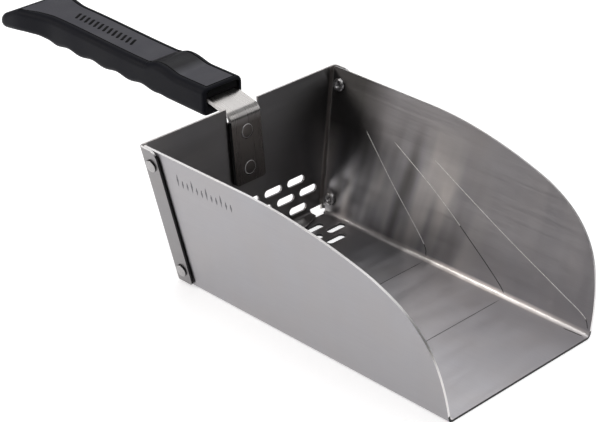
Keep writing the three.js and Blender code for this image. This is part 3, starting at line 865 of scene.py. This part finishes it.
def make_rivets():
    inner = -2 * SHEET - GAP
    side_profile = rolled(HEAD_R, ROLL_HOLE_R, inner - HEAD_LIFT, ROLL_HIGH)
    side_profile += [(SHANK_R, inner), (SHANK_R, HEAD_LIFT)]
    side_profile += domed(SIDE_HEAD_R, HEAD_LIFT, SIDE_HEAD_HIGH - 0.06, 0.4)
    for side, word in ((-1, "left"), (1, "right")):
        for level, z in SIDE_RIVETS_Z.items():
            make_rivet(f"side_rivet_{word}_{level}", side_profile, side_rivet_frame(side, z))
    front = -SHEET - GAP - BAR_THICK - 0.08
    flush = [(0, front), (HEAD_R - 0.3, front), (HEAD_R - 0.08, front + 0.08), (HEAD_R, front + 0.28)]
    flush += [(HEAD_R, -SHEET - GAP), (SHANK_R, -SHEET - GAP + 0.05), (SHANK_R, HEAD_LIFT)]
    for level, z in STRAP_RIVETS_Z.items():
        profile = flush + domed(HEAD_R, HEAD_LIFT, HEAD_HIGH - 0.04, 1.2)
        make_rivet(f"strap_rivet_{level}", profile, strap_rivet_frame(z), flush=True)


# ---------------------------------------------------------------- grip


def slope(y, start, run, height):
    """How far a smooth slope has gone at a station."""
    return height * ramp((y - start) / run)


def grip_top(y):
    rise = slope(y, *TOP_RISE) + slope(y, *THUMB_RISE) - slope(y, *THUMB_FALL)
    bevel = max(0.0, (y - GRIP_BACK_Y) / BUTT_RUN + 1) * BUTT_DROP
    lip = CREASE_HEIGHT * math.exp(-(((y - CREASE_Y) / CREASE_WIDTH) ** 2))
    return GRIP_TOP_Z + rise + lip - bevel


def grip_bottom(y):
    phase = (y - GROOVE_FIRST_Y) / GROOVE_PITCH
    grooved = ramp(phase / 0.5 + 1) * (1 - ramp((phase - GROOVES) / 0.5))
    groove = GROOVE_DEPTH / 2 * (1 - math.cos(2 * math.pi * phase)) * grooved
    hollow = slope(y, *HOLLOW_RISE) - slope(y, *HOLLOW_FALL)
    return GRIP_UNDER_Z + UNDER_SLOPE * (y - GRIP_FRONT_Y) + groove + hollow


def grip_half(y):
    return GRIP_HALF + slope(y, *TAIL_FLARE)


def pad_half(y):
    return grip_half(y) - PAD_INSET + slope(y, *PAD_FLARE)


def past_pad(x, y):
    """How far a point is outside the top pad. Inside the pad it is negative."""
    return max(abs(x) - pad_half(y), PAD_FRONT_Y - y, y - PAD_BACK_Y)


def seam_depth(x, y):
    """How deep the seam around the top pad is cut at a point."""
    t = past_pad(x, y) / SEAM_WIDTH
    return SEAM_DEPTH * math.sin(math.pi * t) ** 0.7 if 0 < t < 1 else 0.0


def round_in(distance, run, inset):
    """How far an end that rounds over has come in, at a distance from that end."""
    t = max(0.0, 1 - distance / run)
    return inset * (1 - math.sqrt(1 - t * t))


def grip_ring(y):
    nose = round_in(y - GRIP_FRONT_Y, *NOSE)
    back = GRIP_BACK_Y - y
    half = grip_half(y) - nose - round_in(back, *TAIL_SIDE)
    low = grip_bottom(y) + nose + round_in(back, *TAIL_BELOW)
    high = grip_top(y) - nose - round_in(back, *TAIL_ABOVE)
    radius = min(GRIP_EDGE, (high - low) / 2 - 0.05)
    pad = min(pad_half(y), half - radius - SEAM_WIDTH)
    flat_end = half - radius
    across = [pad * k / 9 for k in range(10)]
    across += [pad + (flat_end - pad) * k / 8 for k in range(1, 9)]
    side = [(x, high - seam_depth(x, y)) for x in across]
    side += arc((flat_end, high - radius), radius, 90, 0, 10)[1:]
    side += arc((flat_end, low + radius), radius, 0, -90, 8)
    side += [(flat_end * (1 - k / 8), low) for k in range(1, 9)]
    ring = side + [(-x, z) for x, z in side[-2:0:-1]]
    return [(x, y, z) for x, z in ring]


def grip_stations():
    nose = [GRIP_FRONT_Y + d for d in (0, 0.08, 0.25, 0.5, 0.85, 1.25, 1.7)]
    front_seam = [PAD_FRONT_Y - SEAM_WIDTH * (1 - k / 6) for k in range(7)]
    rise = [lerp(PAD_FRONT_Y + 1, CREASE_Y - 0.8, k / 44) for k in range(45)]
    crease = [CREASE_Y + 0.3 * k for k in range(-2, 4)]
    body = [lerp(CREASE_Y + 1, PAD_BACK_Y - 0.6, k / 100) for k in range(101)]
    back_seam = [PAD_BACK_Y + SEAM_WIDTH * k / 6 for k in range(7)]
    tail = [lerp(PAD_BACK_Y + SEAM_WIDTH + 0.5, GRIP_BACK_Y - 6, k / 9) for k in range(10)]
    end = [GRIP_BACK_Y - d for d in (5, 4, 3.1, 2.3, 1.6, 1.05, 0.6, 0.3, 0.1, 0)]
    return nose + [y for y in front_seam if y > nose[-1]] + rise + crease + body + back_seam + tail + end


def mouth_ring(y, count):
    """The core's hollow at a station, with as many points as a grip ring and in the same order."""
    low, high = MOUTH_Z
    flat_end = MOUTH_HALF - MOUTH_CORNER
    upper = arc((flat_end, high - MOUTH_CORNER), MOUTH_CORNER, 90, 0, 8)
    lower = arc((flat_end, low + MOUTH_CORNER), MOUTH_CORNER, 0, -90, 8)
    side = [(0, high), *upper, *lower, (0, low)]
    ring = side + [(-x, z) for x, z in side[-2:0:-1]]
    total = [0.0]
    for a, b in zip(ring, ring[1:] + ring[:1]):
        total.append(total[-1] + math.dist(a, b))
    points = []
    for k in range(count):
        s = total[-1] * k / count
        i = max(j for j in range(len(ring)) if total[j] <= s)
        t = (s - total[i]) / (total[i + 1] - total[i])
        a, b = ring[i], ring[(i + 1) % len(ring)]
        points.append((lerp(a[0], b[0], t), y, lerp(a[1], b[1], t)))
    return points


def make_grip():
    outer = [grip_ring(y) for y in grip_stations()]
    count = len(outer[0])
    inner = [mouth_ring(y, count) for y in (MOUTH_END_Y, GRIP_FRONT_Y + 0.5, GRIP_FRONT_Y)]
    made = loft(inner + outer)
    for face in made.faces:
        x, y, z = face.calc_center_median()
        on_top = z > grip_top(y) - 2 * SEAM_DEPTH and face.normal.z > 0.3
        if on_top and past_pad(x, y) < SEAM_WIDTH:
            face.material_index = 1 if past_pad(x, y) < 0 else 2
    grip = new_object("grip_shell", made, [GRIP_RUBBER, PAD_RUBBER, SEAM_RUBBER])
    weigh_normals(grip, 50)
    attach(grip, "root")
    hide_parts("grip_cover")


# ---------------------------------------------------------------- marks


HALF_TURN = [math.pi * k / 6 for k in range(7)]


def ridge(target, points, normal, width, height, lit_share=1.0):
    """A fine rounded ridge along a line on a flat face. After its lit share it is in the second material;
    on scribed lines the first is painted highlight and the second painted shade."""
    normal = Vector(normal).normalized()
    rows = []
    for i, point in enumerate(points):
        before, after = points[max(i - 1, 0)], points[min(i + 1, len(points) - 1)]
        across = (Vector(after) - Vector(before)).cross(normal).normalized()
        taper = 0.15 if i in (0, len(points) - 1) else 1.0
        reach, rise = across * width / 2 * taper, normal * height * taper
        row = [Vector(point) + reach * math.cos(a) + rise * math.sin(a) for a in HALF_TURN]
        rows.append([target.verts.new(p) for p in row])
    for i, (a, b) in enumerate(zip(rows, rows[1:])):
        for k in range(len(a)):
            n = (k + 1) % len(a)
            face = target.faces.new((a[k], a[n], b[n], b[k]))
            face.material_index = int(i >= lit_share * (len(rows) - 1))
    target.faces.new(rows[0][::-1])
    target.faces.new(rows[-1])


def smooth_line(points, steps=10):
    """A Catmull-Rom curve through the points."""
    points = [Vector(p) for p in points]
    ends = [2 * points[0] - points[1], *points, 2 * points[-1] - points[-2]]
    line = []
    for p0, p1, p2, p3 in zip(ends, ends[1:], ends[2:], ends[3:]):
        line += interpolate_bezier(p1, p1 + (p2 - p0) / 6, p2 - (p3 - p1) / 6, p2, steps + 1)[:-1]
    return line + [points[-1]]


SCRIBES = [  # y and z on the right wall's inner face
    [(66.5, 51.7), (44.9, 31.9), (18.9, 9.7), (14.9, 2.9)],
    [(47.2, 52.2), (13.9, 35.3), (-16.5, 16.5), (-31.5, 6.5), (-35.7, 2.9)],
    [(20.9, 52.1), (-25.6, 32.3), (-66.2, 16.4), (-82.8, 9.7), (-86.6, 4.6)],
]
# Scribes are painted as lit up to their share and as shaded after it; the floor scribes and the nick are
# painted shaded all along.
SCRIBE_LIT_SHARES = [0.68, 0.36, 0.8]  # each line is dark after this share of it
FLOOR_SCRIBES_Y = [14.3, -36.7]
NICK = [(46.6, -74.5), (47.4, -86.0)]  # x and y of the ends of a short crease near the lip
INNER_HALF = FLOOR_HALF - SHEET * SPREAD


def make_scribes():
    made = bmesh.new()
    for points, bright in zip(SCRIBES, SCRIBE_LIT_SHARES):
        wall = [(INNER_HALF + FLARE * z, y, z) for y, z in points]
        ridge(made, smooth_line(wall), (-1, 0, FLARE), 0.5, 0.09, bright)
    for y in FLOOR_SCRIBES_Y:
        reach = INNER_HALF - BEND
        line = [(lerp(-reach, reach, k / 20), y, SHEET) for k in range(21)]
        ridge(made, line, (0, 0, 1), 0.42, 0.05, 0.0)
    nick = [(*Vector(NICK[0]).lerp(Vector(NICK[1]), k / 8), SHEET) for k in range(9)]
    ridge(made, nick, (0, 0, 1), 0.7, 0.08, 0.0)
    bmesh.ops.recalc_face_normals(made, faces=made.faces[:])
    lines = new_object("scribed_lines", made, [LIT_SCRIBE, SHADED_SCRIBE])
    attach(lines, "root")


def make_wall_mark():
    """A plain row of upright ticks etched near the rim of the left wall, long and short in turn."""
    made = bmesh.new()
    normal = Vector((-1, 0, -FLARE)).normalized()
    first_y, pitch, middle_z = 73.0, -3.3, 65.8
    for i in range(12):
        y = first_y + i * pitch
        reach = 3.4 if i % 3 == 0 else 2.2
        foot_z = middle_z - 3.4
        heights = (foot_z, foot_z + reach, foot_z + 2 * reach)
        line = [Vector((-(FLOOR_HALF + FLARE * z), y, z)) for z in heights]
        ridge(made, line, normal, 1.3, 0.04)
    bmesh.ops.recalc_face_normals(made, faces=made.faces[:])
    mark = new_object("wall_ticks", made, ETCH_STEEL)
    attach(mark, "root")


def make_grip_mark():
    """A plain row of slanted bars let into the grip's top pad."""
    made = bmesh.new()
    first_y, pitch, reach, slant = 222.0, -3.7, 3.2, 1.6
    for i in range(13):
        y = first_y + i * pitch
        stops = [reach * k for k in (-1, -0.88, 0, 0.88, 1)]
        line = [(x, y + slant * x / reach, grip_top(y + slant * x / reach)) for x in stops]
        ridge(made, line, (0, 0, 1), 1.7, 0.08)
    bmesh.ops.recalc_face_normals(made, faces=made.faces[:])
    mark = new_object("grip_bars", made, SEAM_RUBBER)
    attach(mark, "root")


# ---------------------------------------------------------------- studio


def make_camera():
    data = bpy.data.cameras.new("camera")
    data.lens = 118.36
    data.sensor_width = 36
    data.clip_start, data.clip_end = 0.05, 20
    camera = bpy.data.objects.new("camera", data)
    camera.location = (-0.60173, -0.54945, 0.49526)
    camera.rotation_euler = (math.radians(90 - 28.50), 0, math.radians(-44.87))
    bpy.context.scene.collection.objects.link(camera)
    bpy.context.scene.camera = camera


def area_light(name, location, target, size, watts, colour=(1, 1, 1)):
    data = bpy.data.lights.new(name, "AREA")
    data.shape = "RECTANGLE"
    data.size, data.size_y = size
    data.energy = watts
    data.color = colour
    light = bpy.data.objects.new(name, data)
    light.location = location
    aim = Vector(target) - Vector(location)
    light.rotation_euler = aim.to_track_quat("-Z", "Y").to_euler()
    bpy.context.scene.collection.objects.link(light)


def make_studio():
    floor = bpy.data.meshes.new("studio_floor")
    made = bmesh.new()
    bmesh.ops.create_grid(made, x_segments=2, y_segments=2, size=6)
    made.to_mesh(floor)
    made.free()
    floor.materials.append(floor_material())
    plane = bpy.data.objects.new("studio_floor", floor)
    bpy.context.scene.collection.objects.link(plane)
    world = bpy.data.worlds.new("studio")
    world.use_nodes = True
    background = world.node_tree.nodes["Background"]
    background.inputs["Color"].default_value = (0.97, 0.98, 1.0, 1)
    background.inputs["Strength"].default_value = 0.07
    bpy.context.scene.world = world
    area_light("rear_softbox", (1.5, 1.3, 1.9), (0, 0.05, 0), (2.2, 1.6), 17)
    area_light("left_softbox", (-1.3, 1.25, 0.95), (0, 0, 0), (0.9, 0.7), 13, (1, 0.95, 0.91))
    area_light("front_strip", (1.3, -1.1, 0.9), (0, 0, 0), (0.5, 1.2), 4)
    area_light("overhead", (-0.2, 0, 1.7), (-0.2, 0, 0), (2.2, 2.2), 22)
    bpy.context.scene.view_settings.view_transform = "Standard"


make_camera()
make_studio()
make_pan()
make_panel()
make_bar()
make_rivets()
make_grip()
make_scribes()
make_wall_mark()
make_grip_mark()

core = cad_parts["grip_core"]
core.data.materials.clear()
core.data.materials.append(CORE_PLASTIC)
